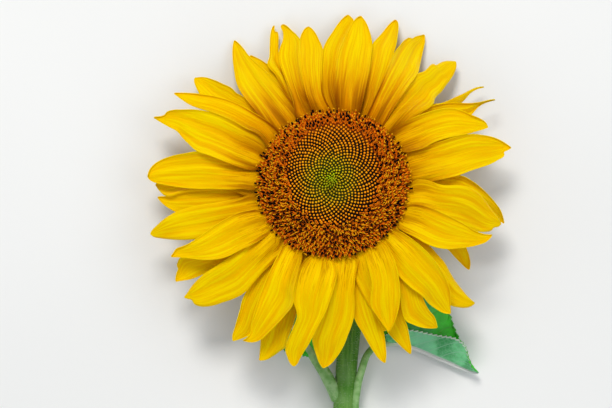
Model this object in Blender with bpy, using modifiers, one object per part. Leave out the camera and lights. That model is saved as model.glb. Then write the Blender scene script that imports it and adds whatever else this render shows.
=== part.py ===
# Sunflower, as picked: one bloom with its cut stem and two small leaves, lying face up.
# Metres, +Z up. The surface is the plane z = 0, the stem runs towards -Y, and the origin is
# on the surface under the middle of the whole flower.
import math

import bmesh
import bpy
from mathutils import Matrix, Vector
from mathutils.geometry import delaunay_2d_cdt

# Driving dimensions of the head
HEAD_CENTRE = Vector((0.0019, 0.0678, 0.040))
HEAD_LEAN = math.radians(14)  # the face leans away from the stem
HEAD_SIDE_LEAN = math.radians(4)  # and a little to the left
DISC_RADIUS = 0.0413
DISC_WALL_RADIUS = 0.038
DISC_TOP = 0.0085
DISC_EDGE = -0.0004
BUD_RADIUS = 0.0250
BUD_STRETCH = 1.13
BUD_CENTRE = Vector((0.0005, 0.0045))
SEAT_HEIGHT = -0.008  # the receptacle's upper face, below the plane of the disc's edge
GAP = 0.0003  # clearance between pieces that touch

FLORET_COUNT = 330
RELIEF_PEAK = 0.0008
RELIEF_VALLEY = -0.0007
RIM_STEPS = 60

# Receptacle and bracts. A row is its count, length, breadth, first bearing and height.
RECEPTACLE_RADIUS = 0.0425
RECEPTACLE_DEPTH = 0.024
RECEPTACLE_SIDE = (
    (0.0421, -0.0105),
    (0.0385, -0.0145),
    (0.0310, -0.0180),
    (0.0205, -0.0205),
    (0.0130, -0.0220),
)
NECK_RADIUS = 0.0092
BRACT_ROWS = ((13, 0.031, 0.0115, 0.0, -0.0118), (13, 0.034, 0.0125, 13.8, -0.0152))
BRACT_ROOT_RADIUS = 0.0335
BRACT_DROP = 0.0065  # how far a bract's tip hangs below its root
BRACT_CUP = 0.0014
BLADE_THICKNESS = 0.0008
THINNEST_HALF = 0.0007  # half breadth left at a blade's tip

# Stem, from the cut end to the neck: places in x and y are measured from the head's centre
STEM_RADIUS = 0.0072
STEM_POINTS = (
    (0.007, -0.2300, 0.00735, 1.02),
    (0.006, -0.1950, 0.0087, 1.00),
    (0.0065, -0.1500, 0.0100, 0.98),
    (0.0105, -0.1050, 0.0104, 0.98),
    (0.0130, -0.0620, 0.0096, 1.00),
    (0.0080, -0.0290, 0.0081, 1.04),
    (0.0030, -0.0135, 0.0098, 1.10),
)

# Ray florets. Bearings are in degrees anticlockwise from +X about the head's centre, seen from
# above. Reach is from the head's centre to the tip, in plan.
ROOT_RADIUS = 0.0397
RING_INNER = DISC_WALL_RADIUS + 0.0004
RING_OUTER = 0.0412
RING_TOP = -0.0047
ROOT_HEIGHTS = (-0.0068, -0.0062, -0.0056)
CLAW = 0.12  # sets how much of the breadth is left at the root
LIFT_SHARE = 0.42  # how far along its start slope a ray floret runs before it falls to its tip
TIP_SHARE = 0.25
TIP_UPTURN = 0.12
CUP = 0.22  # rise of a ray floret's sides above its middle, as a share of its half breadth
RISES = tuple(math.radians(a) for a in (3, 15, 27))  # start slope of each row, back to front

# tip bearing, reach, breadth, tip height, root bearing, row, where along it is widest
PETALS = (
    (84.7, 0.0950, 0.0225, 0.0040, 87, 1, 0.47),
    (80.3, 0.0952, 0.0195, 0.0075, 78, 2, 0.47),
    (69.0, 0.0980, 0.0165, 0.0030, 66, 1, 0.50),
    (58.4, 0.0970, 0.0190, 0.0005, 57, 2, 0.50),
    (44.7, 0.0965, 0.0200, 0.0080, 48, 1, 0.50),
    (33.1, 0.0995, 0.0130, 0.0100, 42, 0, 0.42),
    (27.6, 0.1015, 0.0140, 0.0140, 34, 0, 0.42),
    (20.1, 0.0912, 0.0192, 0.0300, 35, 2, 0.44),
    (15.0, 0.0860, 0.0170, 0.0140, 23, 0, 0.47),
    (11.6, 0.1007, 0.0228, 0.0260, 12, 1, 0.48),
    (-12.9, 0.0965, 0.0200, 0.0230, -2, 0, 0.50),
    (-13.9, 0.0955, 0.0205, 0.0300, -12, 1, 0.52),
    (-17.9, 0.0918, 0.0220, 0.0400, -26, 2, 0.46),
    (-31.7, 0.0885, 0.0150, 0.0280, -25, 0, 0.50),
    (-40.3, 0.1020, 0.0160, 0.0340, -41, 0, 0.50),
    (-47.6, 0.0960, 0.0205, 0.0420, -45, 2, 0.47),
    (-54.1, 0.0975, 0.0170, 0.0400, -53, 1, 0.50),
    (-65.5, 0.1020, 0.0170, 0.0370, -61, 0, 0.50),
    (-69.0, 0.0860, 0.0150, 0.0500, -57, 2, 0.50),
    (-70.8, 0.0862, 0.0150, 0.0450, -73, 1, 0.47),
    (-73.8, 0.1020, 0.0180, 0.0380, -74, 0, 0.50),
    (-93.1, 0.1010, 0.0215, 0.0400, -82, 1, 0.47),
    (-102.5, 0.1020, 0.0215, 0.0470, -100, 2, 0.34),
    (-112.2, 0.1050, 0.0180, 0.0380, -113, 0, 0.50),
    (-117.7, 0.0985, 0.0205, 0.0450, -122, 2, 0.47),
    (-122.4, 0.1015, 0.0165, 0.0370, -130, 0, 0.50),
    (-140.6, 0.1010, 0.0225, 0.0350, -138, 1, 0.50),
    (-148.1, 0.1010, 0.0180, 0.0290, -148, 0, 0.50),
    (-155.9, 0.0975, 0.0190, 0.0380, -152, 2, 0.46),
    (-164.5, 0.1045, 0.0180, 0.0300, -162, 1, 0.47),
    (-175.4, 0.0972, 0.0175, 0.0220, -172, 0, 0.50),
    (-179.5, 0.0980, 0.0160, 0.0215, 178, 0, 0.47),
    (177.0, 0.1030, 0.0210, 0.0270, 171, 1, 0.45),
    (159.5, 0.1058, 0.0245, 0.0230, 157, 2, 0.47),
    (150.3, 0.1012, 0.0165, 0.0240, 142, 2, 0.44),
    (142.3, 0.0975, 0.0180, 0.0110, 138, 0, 0.50),
    (124.5, 0.0969, 0.0220, 0.0005, 126, 1, 0.46),
    (120.8, 0.0880, 0.0180, 0.0055, 118, 0, 0.55),
    (111.2, 0.0945, 0.0120, 0.0030, 111, 0, 0.50),
    (107.6, 0.0938, 0.0180, 0.0040, 106, 1, 0.47),
    (98.8, 0.0890, 0.0190, 0.0080, 98, 2, 0.47),
)

NEAR = 0.02  # step along a blade over which its direction is taken

# Leaves: places in x and y from the head's centre. A fold is the angle of each half blade
# above the surface, for the half on the left of the midrib seen from its base, then the right.
LEAVES = {
    "leaf_right": {
        "stalk": ((0.0105, -0.1220, 0.0105), (0.0165, -0.1050, 0.0120), (0.0270, -0.0850, 0.0085)),
        "midrib": ((0.0270, -0.0850, 0.0085), (0.0520, -0.0905, 0.0045), (0.0800, -0.1035, 0.0060)),
        "half_width": 0.0290,
        "folds": (math.radians(8), math.radians(118)),
    },
    "leaf_left": {
        "stalk": ((0.0080, -0.1220, 0.0105), (0.0005, -0.1080, 0.0125), (-0.0070, -0.0940, 0.0110)),
        "midrib": ((-0.0070, -0.0940, 0.0110), (-0.0220, -0.0670, 0.0080), (-0.0540, -0.0670, 0.0040)),
        "half_width": 0.0150,
        "folds": (math.radians(14), math.radians(18)),
    },
}
STALK_RADIUS = 0.0021
LEAF_STATIONS = 18
TOOTH_DEPTH = 0.10

GREEN = (0.13, 0.30, 0.06, 1)
LEAF_GREEN = (0.07, 0.25, 0.06, 1)
YELLOW = (0.85, 0.52, 0.01, 1)
BROWN = (0.17, 0.06, 0.02, 1)
BUD_GREEN = (0.30, 0.28, 0.03, 1)

HEAD = (
    Matrix.Translation(HEAD_CENTRE)
    @ Matrix.Rotation(-HEAD_LEAN, 4, "X")
    @ Matrix.Rotation(-HEAD_SIDE_LEAN, 4, "Y")
)
HEAD_AXIS = (HEAD.to_3x3() @ Vector((0, 0, 1))).normalized()


def clear_scene():
    for obj in list(bpy.data.objects):
        bpy.data.objects.remove(obj)


def new_collection(name):
    collection = bpy.data.collections.new(name)
    bpy.context.scene.collection.children.link(collection)
    return collection


def finish_material(name, colour, roughness):
    material = bpy.data.materials.new(name)
    material.use_nodes = True
    shader = material.node_tree.nodes["Principled BSDF"]
    shader.inputs["Base Color"].default_value = colour
    shader.inputs["Roughness"].default_value = roughness
    shader.inputs["Metallic"].default_value = 0
    return material


def object_from(name, mesh, collection, matrix=None):
    obj = bpy.data.objects.new(name, mesh)
    collection.objects.link(obj)
    if matrix is not None:
        obj.matrix_world = matrix
    return obj


def on_flower(point):
    """A place given from the head's centre in x and y, and from the surface in z."""
    return Vector((HEAD_CENTRE.x + point[0], HEAD_CENTRE.y + point[1], point[2]))


def evaluated_copy(obj, name, collection, merge=0.00001):
    """The object's shape with its modifiers applied, as a new mesh object. The first is removed."""
    bpy.context.view_layer.update()
    graph = bpy.context.evaluated_depsgraph_get()
    mesh = bpy.data.meshes.new_from_object(obj.evaluated_get(graph))
    work = bmesh.new()
    work.from_mesh(mesh)
    if merge:
        bmesh.ops.remove_doubles(work, verts=work.verts, dist=merge)
        bmesh.ops.recalc_face_normals(work, faces=work.faces)
    work.to_mesh(mesh)
    work.free()
    matrix = obj.matrix_world.copy()
    bpy.data.objects.remove(obj)
    return object_from(name, mesh, collection, matrix)


def turned(name, profile, steps, collection):
    """A profile of (radius, height) turned about the head's axis, outer side from top to bottom."""
    mesh = bpy.data.meshes.new(name)
    closed = profile[0] == profile[-1]
    points = profile[:-1] if closed else profile
    edges = [(i, i + 1) for i in range(len(points) - 1)]
    if closed:
        edges.append((len(points) - 1, 0))
    mesh.from_pydata([(radius, 0, height) for radius, height in points], edges, [])
    obj = object_from(name, mesh, collection, HEAD)
    screw = obj.modifiers.new("turn", "SCREW")
    screw.steps = steps
    screw.render_steps = steps
    screw.use_merge_vertices = True
    screw.merge_threshold = 0.00001
    return obj


def curved(points, share):
    """The point a share of the way along a quadratic curve through three guiding points."""
    start, middle, end = points
    return start * (1 - share) ** 2 + middle * 2 * share * (1 - share) + end * share**2


def blade(name, stations, columns, place, collection):
    """A thin leaf-like solid: a grid moved to place(along, across), with thickness."""
    mesh = bpy.data.meshes.new(name)
    work = bmesh.new()
    bmesh.ops.create_grid(work, x_segments=stations, y_segments=columns, size=0.5)
    bmesh.ops.triangulate(work, faces=work.faces, quad_method="FIXED")
    for vertex in work.verts:
        vertex.co = place(vertex.co.x + 0.5, vertex.co.y * 2)
    work.to_mesh(mesh)
    work.free()
    obj = object_from(name, mesh, collection)
    solid = obj.modifiers.new("thickness", "SOLIDIFY")
    solid.thickness = BLADE_THICKNESS
    solid.offset = 0
    return obj


def fill_pockets(mesh):
    """Keeps the outer surface of a fused body, so that a pocket shut in between blades is filled."""
    work = bmesh.new()
    work.from_mesh(mesh)
    bmesh.ops.triangulate(work, faces=work.faces)
    left = set(work.faces)
    shells = []
    while left:
        reached = [left.pop()]
        shell = []
        while reached:
            face = reached.pop()
            shell.append(face)
            inner_edges = [edge for edge in face.edges if edge.is_manifold]
            near = {other for edge in inner_edges for other in edge.link_faces} & left
            left -= near
            reached.extend(near)
        shells.append(shell)
    shells.sort(key=len)
    for shell in shells[:-1]:
        bmesh.ops.delete(work, geom=shell, context="FACES")
    work.to_mesh(mesh)
    work.free()


def fuse(base, blades, name, collection):
    """One closed body from a base object and every object of a collection, which is emptied."""
    union = base.modifiers.new("fuse", "BOOLEAN")
    union.operation = "UNION"
    union.operand_type = "COLLECTION"
    union.collection = blades
    union.solver = "MANIFOLD"
    fused = evaluated_copy(base, name, collection, merge=0)
    fill_pockets(fused.data)
    for obj in list(blades.objects):
        bpy.data.objects.remove(obj)
    return fused


def petal_breadth(along, widest):
    """Breadth of a ray floret as a share of its widest: a claw, full near mid length, a point."""
    inner = 0.8 * (widest + CLAW) / (1 - widest)
    return ((along + CLAW) / (widest + CLAW)) ** inner * ((1 - along) / (1 - widest)) ** 0.8


def petal_place(petal):
    """The function that puts one ray floret's grid in place."""
    tip_bearing, reach, breadth, tip_height, root_bearing, row, widest = petal
    root_turn = math.radians(root_bearing)
    outward = HEAD.to_3x3() @ Vector((math.cos(root_turn), math.sin(root_turn), 0))
    root = HEAD @ Vector(
        (
            ROOT_RADIUS * math.cos(root_turn),
            ROOT_RADIUS * math.sin(root_turn),
            ROOT_HEIGHTS[row],
        )
    )
    tip_turn = math.radians(tip_bearing)
    tip = on_flower((reach * math.cos(tip_turn), reach * math.sin(tip_turn), tip_height))
    length = (tip - root).length
    start = outward * math.cos(RISES[row]) + HEAD_AXIS * math.sin(RISES[row])
    lift = root + start * length * LIFT_SHARE
    fall = (tip - lift).normalized()
    end = tip - (fall + Vector((0, 0, TIP_UPTURN))).normalized() * length * TIP_SHARE

    def centre(along):
        rest = 1 - along
        return (
            root * rest**3
            + lift * 3 * rest**2 * along
            + end * 3 * rest * along**2
            + tip * along**3
        )

    def place(along, across):
        tangent = (centre(min(along + NEAR, 1)) - centre(max(along - NEAR, 0))).normalized()
        side = HEAD_AXIS.cross(tangent).normalized()
        normal = tangent.cross(side)
        half = max(breadth * petal_breadth(along, widest) / 2, THINNEST_HALF)
        cup = CUP * half * (1 - 0.8 * along)
        return centre(along) + side * across * half + normal * across**2 * cup

    return place


def make_ray_florets(collection, material):
    core = turned(
        "ray_ring",
        (
            (RING_INNER, RING_TOP),
            (RING_OUTER, RING_TOP),
            (RING_OUTER, SEAT_HEIGHT + GAP),
            (RING_INNER, SEAT_HEIGHT + GAP),
            (RING_INNER, RING_TOP),
        ),
        48,
        collection,
    )
    core = evaluated_copy(core, "ray_ring", collection)
    blades = new_collection("ray blades")
    for number, petal in enumerate(PETALS):
        blade(f"ray_{number}", 6, 2, petal_place(petal), blades)
    fused = fuse(core, blades, "ray_florets", collection)
    fused.data.materials.append(material)


def bract_place(bearing, length, breadth, height):
    """The function that puts one bract's grid in place, under the ray florets."""
    turn = math.radians(bearing)
    outward = Vector((math.cos(turn), math.sin(turn), 0))
    side = Vector((-math.sin(turn), math.cos(turn), 0))

    def place(along, across):
        half = max(breadth / 2 * (1 - along) ** 0.85 * (1 + 1.2 * along), THINNEST_HALF)
        level = height - 0.0010 - BRACT_DROP * along**2 + BRACT_CUP * (1 - along) * across**2
        out = outward * (BRACT_ROOT_RADIUS + length * along)
        return HEAD @ (out + side * across * half + Vector((0, 0, level)))

    return place


def make_receptacle(collection, material):
    cup = turned(
        "receptacle_cup",
        (
            (0, SEAT_HEIGHT),
            (RECEPTACLE_RADIUS, SEAT_HEIGHT),
            *RECEPTACLE_SIDE,
            (NECK_RADIUS, -RECEPTACLE_DEPTH),
            (0, -RECEPTACLE_DEPTH),
        ),
        36,
        collection,
    )
    cup = evaluated_copy(cup, "receptacle_cup", collection)
    blades = new_collection("bract blades")
    for count, length, breadth, offset, height in BRACT_ROWS:
        for number in range(count):
            bearing = offset + 360 * number / count
            name = f"bract_{len(blades.objects)}"
            blade(name, 4, 2, bract_place(bearing, length, breadth, height), blades)
    fused = fuse(cup, blades, "receptacle", collection)
    fused.data.materials.append(material)


def disc_height(radius):
    return DISC_TOP + (DISC_EDGE - DISC_TOP) * (radius / DISC_RADIUS) ** 2.6


def make_disc_body(name, collection):
    """The whole disc: florets in a golden-angle spiral, each a low six-sided point in relief."""
    golden = math.pi * (3 - math.sqrt(5))
    spread = (DISC_RADIUS - 0.0014) / math.sqrt(FLORET_COUNT)
    centres = [
        Vector((math.cos(i * golden), math.sin(i * golden))) * spread * math.sqrt(i + 0.5)
        for i in range(FLORET_COUNT)
    ]
    turns = [math.tau * i / RIM_STEPS for i in range(RIM_STEPS)]
    edge = [Vector((math.cos(turn), math.sin(turn))) * DISC_RADIUS for turn in turns]
    points, _, faces, *_ = delaunay_2d_cdt(centres + edge, [], [], 0, 0.00001)
    mesh = bpy.data.meshes.new(name)
    mesh.from_pydata([(p.x, p.y, 0) for p in points], [], faces)
    work = bmesh.new()
    work.from_mesh(mesh)
    peaks = {v for v in work.verts if v.co.xy.length < DISC_RADIUS - 0.0005}
    bmesh.ops.subdivide_edges(work, edges=work.edges, cuts=1, use_grid_fill=True)
    for vertex in work.verts:
        radius = vertex.co.xy.length
        vertex.co.z = disc_height(radius)
        if radius < DISC_RADIUS - 0.0008:
            vertex.co.z += RELIEF_PEAK if vertex in peaks else RELIEF_VALLEY
    border = [e for e in work.edges if e.is_boundary]
    for radius, height in ((DISC_WALL_RADIUS, -0.0030), (DISC_WALL_RADIUS, SEAT_HEIGHT + GAP)):
        ring = bmesh.ops.extrude_edge_only(work, edges=border)["geom"]
        for vertex in (g for g in ring if isinstance(g, bmesh.types.BMVert)):
            flat = vertex.co.xy.normalized() * radius
            vertex.co = (flat.x, flat.y, height)
        border = [g for g in ring if isinstance(g, bmesh.types.BMEdge)]
    bmesh.ops.contextual_create(work, geom=border)
    bmesh.ops.recalc_face_normals(work, faces=work.faces)
    work.to_mesh(mesh)
    work.free()
    return object_from(name, mesh, collection, HEAD)


def make_disc(collection, cutters, brown, green):
    """The disc in two nodes: the ring of open florets, and the closed buds inside it."""
    for name, operation, radius, material in (
        ("disc_florets", "DIFFERENCE", BUD_RADIUS + GAP, brown),
        ("disc_buds", "INTERSECT", BUD_RADIUS, green),
    ):
        disc = make_disc_body(name, collection)
        disc.data.materials.append(material)
        mesh = bpy.data.meshes.new(f"{name}_cutter")
        work = bmesh.new()
        bmesh.ops.create_cone(
            work, cap_ends=True, segments=48, radius1=radius, radius2=radius, depth=0.05
        )
        work.to_mesh(mesh)
        work.free()
        place = HEAD @ Matrix.Translation((BUD_CENTRE.x, BUD_CENTRE.y, 0))
        place = place @ Matrix.Diagonal((1, BUD_STRETCH, 1, 1))
        cutter = object_from(f"{name}_cutter", mesh, cutters, place)
        cutter.hide_render = True
        cutter.display_type = "WIRE"
        cut = disc.modifiers.new("divide", "BOOLEAN")
        cut.operation = operation
        cut.object = cutter


def tube(name, points, radius, sides, steps, collection):
    """A round rod along a smooth curve through points, each with its share of the radius."""
    curve = bpy.data.curves.new(name, "CURVE")
    curve.dimensions = "3D"
    curve.bevel_depth = radius
    curve.bevel_resolution = sides
    curve.resolution_u = steps
    curve.use_fill_caps = True
    spline = curve.splines.new("BEZIER")
    spline.bezier_points.add(len(points) - 1)
    for knot, (place, share) in zip(spline.bezier_points, points):
        knot.co = place
        knot.radius = share
        knot.handle_left_type = "AUTO"
        knot.handle_right_type = "AUTO"
    return object_from(name, curve, collection)


def stem_knots(extra):
    """The stem's places and radius shares, ending square under the receptacle."""
    knots = [(on_flower(p[:3]), p[3] + extra) for p in STEM_POINTS]
    top = HEAD @ Vector((0, 0, -RECEPTACLE_DEPTH - GAP))
    under = HEAD @ Vector((0, 0, -RECEPTACLE_DEPTH - GAP - 0.0022))
    share = NECK_RADIUS / STEM_RADIUS
    return knots + [(under, share - 0.06 + extra), (top, share + extra)]


def make_stem(collection, material):
    stem = tube("stem", stem_knots(0), STEM_RADIUS, 4, 4, collection)
    stem.data.materials.append(material)


def leaf_place(leaf):
    """The function that puts one leaf blade's grid in place, with its toothed margin."""
    midrib = [on_flower(p) for p in leaf["midrib"]]
    left_fold, right_fold = leaf["folds"]

    def place(along, across):
        centre = curved(midrib, along)
        tangent = curved(midrib, min(along + NEAR, 1)) - curved(midrib, max(along - NEAR, 0))
        tangent.normalize()
        side = Vector((0, 0, 1)).cross(tangent).normalized()
        up = tangent.cross(side)
        width = leaf["half_width"] * (1 - along) ** 0.9 * (0.35 + along) ** 0.5 * 1.62
        width = max(width * min(1, 0.25 + along * 6), THINNEST_HALF)
        station = round(along * LEAF_STATIONS)
        if abs(across) > 0.9 and station % 2 == 0:
            width *= 1 - TOOTH_DEPTH
        fold = left_fold if across > 0 else right_fold
        reach = abs(across) * width
        curl = 0.0012 * math.sin(along * 17 + across)
        outward = side if across > 0 else -side
        return centre + (outward * math.cos(fold) + up * math.sin(fold)) * reach + up * curl

    return place


def make_leaf(name, leaf, collection, cutters, material):
    rib = [on_flower(p) for p in leaf["midrib"]]
    knots = [(on_flower(p), 1.15 - 0.1 * i) for i, p in enumerate(leaf["stalk"])]
    knots += [(curved(rib, 0.30), 0.62), (curved(rib, 0.55), 0.42)]
    stalk = tube(f"{name}_stalk", knots, STALK_RADIUS, 2, 4, collection)
    stalk = evaluated_copy(stalk, f"{name}_stalk", collection)
    blades = new_collection(f"{name} blade")
    blade(f"{name}_blade", LEAF_STATIONS, 4, leaf_place(leaf), blades)
    fused = fuse(stalk, blades, name, collection)
    fused.data.materials.append(material)
    swollen = tube(f"{name}_seat", stem_knots(GAP / STEM_RADIUS), STEM_RADIUS, 4, 4, cutters)
    swollen = evaluated_copy(swollen, f"{name}_seat", cutters)
    swollen.hide_render = True
    swollen.display_type = "WIRE"
    seat = fused.modifiers.new("seat", "BOOLEAN")
    seat.operation = "DIFFERENCE"
    seat.object = swollen


def shade(collection):
    for obj in collection.objects:
        if obj.type == "MESH":
            obj.data.shade_smooth()
            obj.data.set_sharp_from_angle(angle=math.radians(45))


def main():
    clear_scene()
    flower = new_collection("sunflower")
    cutters = new_collection("cutters")
    stem_green = finish_material("stem green", GREEN, 0.6)
    make_stem(flower, stem_green)
    make_receptacle(flower, finish_material("bract green", GREEN, 0.65))
    make_ray_florets(flower, finish_material("petal yellow", YELLOW, 0.55))
    make_disc(
        flower,
        cutters,
        finish_material("floret brown", BROWN, 0.8),
        finish_material("bud green", BUD_GREEN, 0.75),
    )
    leaf_green = finish_material("leaf green", LEAF_GREEN, 0.55)
    for name, leaf in LEAVES.items():
        make_leaf(name, leaf, flower, cutters, leaf_green)
    shade(flower)


main()
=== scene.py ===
import math
import random

import bpy
import numpy as np
from mathutils import Matrix, Vector


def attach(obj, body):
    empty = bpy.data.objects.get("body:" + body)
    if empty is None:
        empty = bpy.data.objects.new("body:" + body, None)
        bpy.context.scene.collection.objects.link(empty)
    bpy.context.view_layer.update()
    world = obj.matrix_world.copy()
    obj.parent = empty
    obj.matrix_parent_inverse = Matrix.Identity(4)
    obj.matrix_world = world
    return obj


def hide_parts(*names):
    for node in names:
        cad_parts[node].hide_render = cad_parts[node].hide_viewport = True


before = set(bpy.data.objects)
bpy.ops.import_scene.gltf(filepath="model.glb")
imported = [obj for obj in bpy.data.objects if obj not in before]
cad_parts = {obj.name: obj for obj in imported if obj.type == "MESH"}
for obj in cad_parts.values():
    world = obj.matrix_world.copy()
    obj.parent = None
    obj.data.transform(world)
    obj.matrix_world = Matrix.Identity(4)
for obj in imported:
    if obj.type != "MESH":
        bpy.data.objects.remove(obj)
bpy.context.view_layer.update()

# View, table and light
# The bloom lies face up on a pale table, and is looked at from straight above, square to its
# face. Big soft lights stand for an overcast sky with the sun behind thin cloud.
HEAD_CENTRE = Vector((0.0019, 0.0678, 0.040))
VIEW_OFFSET = Vector((-0.01485, -0.0110, 2.0))
LENS_MM = 213.9
SENSOR_MM = 36
SIGHT_REACH = 30
TABLE_SIZE = 8
TABLE_DROP = 0.0002
SKY_STRENGTH = 0.42


def fresh(operator, **settings):
    """What an operator adds, as the only selected object."""
    bpy.ops.object.select_all(action="DESELECT")
    operator(**settings)
    return bpy.context.object


def operation(name, reflected=False):
    """A method that joins a wire and another value by one operation of the Math node."""

    def method(self, other=0.0):
        first, second = (other, self) if reflected else (self, other)
        return self.node("Math", {"operation": name}, {0: first, 1: second})

    return method


class Wire:
    """A socket of a material's node tree, so that a pattern is written as a sum."""

    __add__, __radd__ = operation("ADD"), operation("ADD", reflected=True)
    __sub__, __rsub__ = operation("SUBTRACT"), operation("SUBTRACT", reflected=True)
    __mul__, __rmul__ = operation("MULTIPLY"), operation("MULTIPLY", reflected=True)
    __truediv__, __pow__ = operation("DIVIDE"), operation("POWER")
    __abs__, sine, most = operation("ABSOLUTE"), operation("SINE"), operation("MAXIMUM")

    def __init__(self, tree, socket=None):
        self.tree = tree
        self.socket = socket

    def plug(self, value, socket):
        """Links a wire to a socket, or sets its value. A plain triple is a colour."""
        if isinstance(value, Wire):
            self.tree.links.new(value.socket, socket)
        else:
            socket.default_value = (*value, 1.0) if isinstance(value, tuple) else value

    def node(self, kind, settings, inputs, output=0):
        made = self.tree.nodes.new("ShaderNode" + kind)
        for name, value in settings.items():
            setattr(made, name, value)
        for name, value in inputs.items():
            self.plug(value, made.inputs[name])
        return Wire(self.tree, made.outputs[output])

    def between(self, low, high):
        """0 up to low, 1 from high on, and a smooth rise in between."""
        inputs = {"Value": self, "From Min": low, "From Max": high}
        return self.node("MapRange", {"interpolation_type": "SMOOTHSTEP"}, inputs)

    def blend(self, first, second):
        """The first colour where this value is 0, and the second where it is 1."""
        settings = {"data_type": "RGBA", "clamp_factor": True}
        return self.node("Mix", settings, {0: self, 6: first, 7: second}, output=2)

    def ramp(self, *stops):
        """A colour for each place on a scale, given as stops of a place and a colour."""
        made = self.node("ValToRGB", {}, {"Fac": self})
        row = made.socket.node.color_ramp.elements
        row[1].position = stops[1][0]
        for number, (place, tint) in enumerate(stops):
            stop = row[number] if number < 2 else row.new(place)
            stop.position = place
            stop.color = (*tint, 1.0)
        return made

    def noise(self, at, scale, detail):
        return self.node("TexNoise", {}, {"Vector": at, "Scale": scale, "Detail": detail})

    def spot(self):
        """Where a point of the piece is, in metres."""
        return self.node("TexCoord", {}, {}, output=3)

    def laid(self):
        """How far along and how far across its sheet a point is, both from 0 to 1."""
        place = self.node("UVMap", {"uv_map": "UVMap"}, {})
        return [self.node("SeparateXYZ", {}, {0: place}, output=axis) for axis in (0, 1)]

    def own(self, name):
        """The value that each point of the piece holds under a name."""
        return self.node("Attribute", {"attribute_name": name}, {}, output=2)

    def show(self, **inputs):
        """What the shader shows, by its inputs' names with _ for a space."""
        shader = self.tree.nodes["Principled BSDF"]
        for name, value in inputs.items():
            self.plug(value, shader.inputs[name.replace("_", " ")])

    def relief(self, rise, strength, distance):
        """Relief too fine for the mesh."""
        inputs = {"Strength": strength, "Distance": distance, "Height": rise}
        self.show(Normal=self.node("Bump", {}, inputs))


def new_finish(name, roughness, **constants):
    """A material, and a wire that starts its patterns."""
    material = bpy.data.materials.new(name)
    material.use_nodes = True
    wire = Wire(material.node_tree)
    wire.show(Roughness=roughness, **constants)
    return material, wire


camera = fresh(bpy.ops.object.camera_add, location=HEAD_CENTRE + VIEW_OFFSET, rotation=(0, 0, 0))
camera.name = "camera"
camera.data.lens = LENS_MM
camera.data.sensor_width = SENSOR_MM
camera.data.clip_end = SIGHT_REACH
bpy.context.scene.camera = camera
bpy.context.scene.view_settings.view_transform = "Standard"

table = fresh(bpy.ops.mesh.primitive_plane_add, size=TABLE_SIZE, location=(0, 0, -TABLE_DROP))
table.name = "table"
table_finish, wire = new_finish("matt pale table", 0.8)
cloud = wire.noise(wire.spot(), 3.0, 2.0).between(0.3, 0.7)
white = cloud.blend((0.84, 0.84, 0.83), (0.88, 0.88, 0.87))
wire.show(Base_Color=white)
table.data.materials.append(table_finish)

for name, place, size, watts, tint in (
    ("key light", (-0.22, 1.05, 1.45), 0.55, 18.4, (1.0, 0.975, 0.93)),
    ("fill light", (1.10, 0.20, 1.40), 1.20, 6.0, (0.97, 0.98, 1.0)),
    ("low light", (-0.40, -1.20, 1.20), 1.20, 4.0, (0.97, 0.99, 1.0)),
):
    light = fresh(bpy.ops.object.light_add, type="AREA", location=place)
    light.name = name
    light.data.size = size
    light.data.energy = watts
    light.data.color = tint
    light.rotation_euler = (HEAD_CENTRE - light.location).to_track_quat("-Z", "Y").to_euler()

sky = bpy.data.worlds.new("plain sky")
sky.use_nodes = True
backdrop = sky.node_tree.nodes["Background"]
backdrop.inputs["Color"].default_value = (0.90, 0.95, 1.0, 1.0)
backdrop.inputs["Strength"].default_value = SKY_STRENGTH
bpy.context.scene.world = sky

# Stem
# A living stalk of pith and tough green rind, ridged along its length, with stiff pale hairs.
# It runs along the table from its cut end, and bends up into the back of the head.
HEAD = (
    Matrix.Translation(HEAD_CENTRE)
    @ Matrix.Rotation(-math.radians(14), 4, "X")
    @ Matrix.Rotation(-math.radians(4), 4, "Y")
)
HEAD_AXIS = (HEAD.to_3x3() @ Vector((0, 0, 1))).normalized()
RECEPTACLE_DEPTH = 0.024
STEM_RADIUS = 0.0060
NECK_RADIUS = 0.0092
# places in x and y from the head's centre, height over the table, share of the radius
STEM_POINTS = (
    (0.0050, -0.2300, 0.0063, 1.04),
    (0.0044, -0.1950, 0.0078, 1.02),
    (0.0050, -0.1500, 0.0092, 1.00),
    (0.0076, -0.1050, 0.0098, 0.98),
    (0.0104, -0.0620, 0.0092, 1.02),
    (0.0072, -0.0290, 0.0081, 1.12),
    (0.0030, -0.0135, 0.0098, 1.28),
)
# how far behind the receptacle, share of the neck's radius
NECK_POINTS = ((0.0025, 0.95), (0.0003, 1.00))
LEAST_HEIGHT = 0.0003
HAIR_LEAST_HEIGHT = LEAST_HEIGHT / 6
HAIR_WIDTH = 0.00005


def on_flower(point):
    """A place given from the head's centre in x and y, and from the table in z."""
    return Vector((HEAD_CENTRE.x + point[0], HEAD_CENTRE.y + point[1], point[2]))


def clamp(values):
    return np.clip(values, 0, 1)


def unit(vectors):
    return vectors / np.linalg.norm(vectors, axis=-1, keepdims=True)


def on_line(share, steps, line):
    """The places at shares of a line, where steps are the shares at its points."""
    return np.stack([np.interp(share, steps, values) for values in line.T], -1)


def length_shares(line):
    """How far along a line each of its points is, from 0 to 1."""
    steps = np.concatenate([[0], np.cumsum(np.linalg.norm(np.diff(line, axis=0), axis=1))])
    return steps / steps[-1]


def line_through(places, steps):
    """The points of a smooth line through places, with steps between each two."""
    guide = fresh(bpy.ops.curve.primitive_bezier_curve_add)
    guide.data.dimensions = "3D"
    guide.data.resolution_u = steps
    points = guide.data.splines[0].bezier_points
    points.add(len(places) - 2)
    for point, place in zip(points, places):
        point.handle_left_type = "AUTO"
        point.handle_right_type = "AUTO"
        point.co = place
    bpy.ops.object.convert(target="MESH")
    guide = bpy.context.object
    line = np.array([vertex.co for vertex in guide.data.vertices])
    bpy.data.objects.remove(guide)
    return line


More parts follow.
